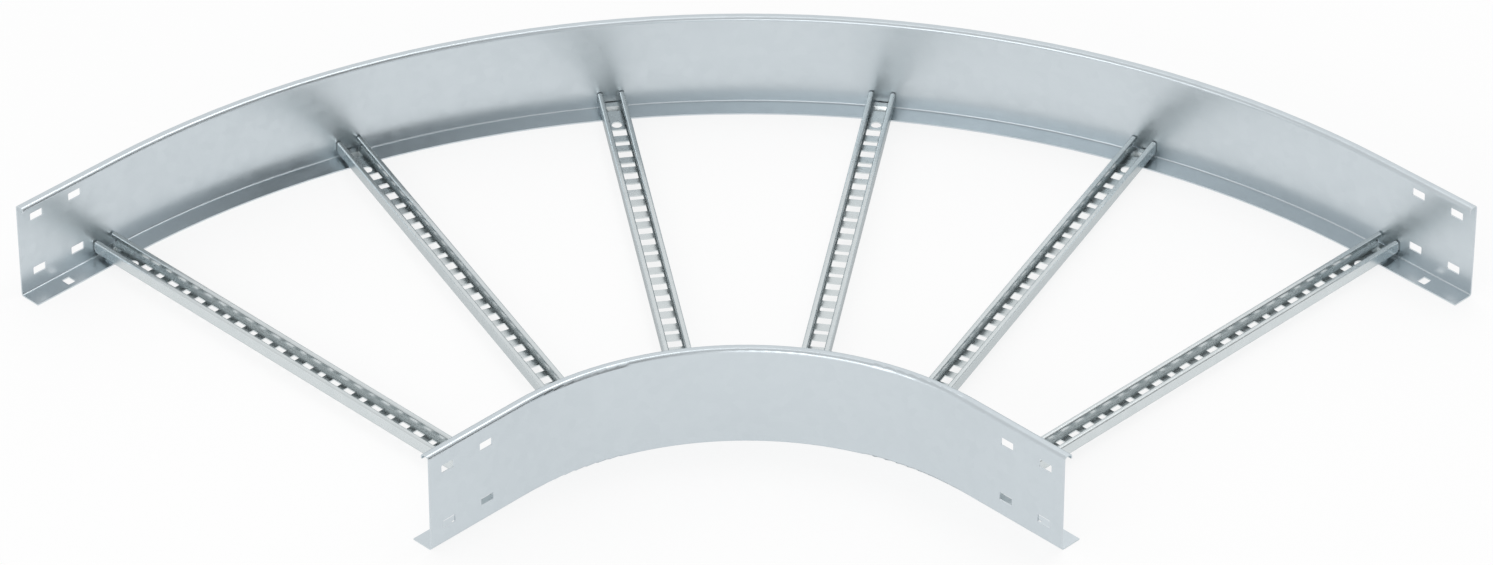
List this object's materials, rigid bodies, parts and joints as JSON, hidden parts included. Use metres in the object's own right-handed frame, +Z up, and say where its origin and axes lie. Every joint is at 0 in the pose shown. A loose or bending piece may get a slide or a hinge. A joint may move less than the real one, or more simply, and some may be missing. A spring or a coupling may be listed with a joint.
{
  "type": "cable ladder bend",
  "caption": "Flat 90 degree cable ladder bend of galvanised sheet steel: curved C-section side rails joined by slotted C-section rungs, with bolt slots at the rail ends.",
  "frame": {"origin": "centre of the bounding box, on the floor plane under the bottom flanges", "axes": "+Z up; one end of the bend faces -Y and the other -X, so the outer rail's ends look towards +X and +Y"},
  "size_m": [1.025, 1.025, 0.11],
  "materials": {
    "rail_steel": "hot-dip galvanised sheet, satin pale grey",
    "rung_steel": "galvanised sheet, satin grey"
  },
  "bodies": {
    "root": {"outer_rail": "rail_steel", "inner_rail": "rail_steel", "rung_1": "rung_steel", "rung_2": "rung_steel", "rung_3": "rung_steel", "rung_4": "rung_steel", "rung_5": "rung_steel", "rung_6": "rung_steel"}
  },
  "joints": []
}
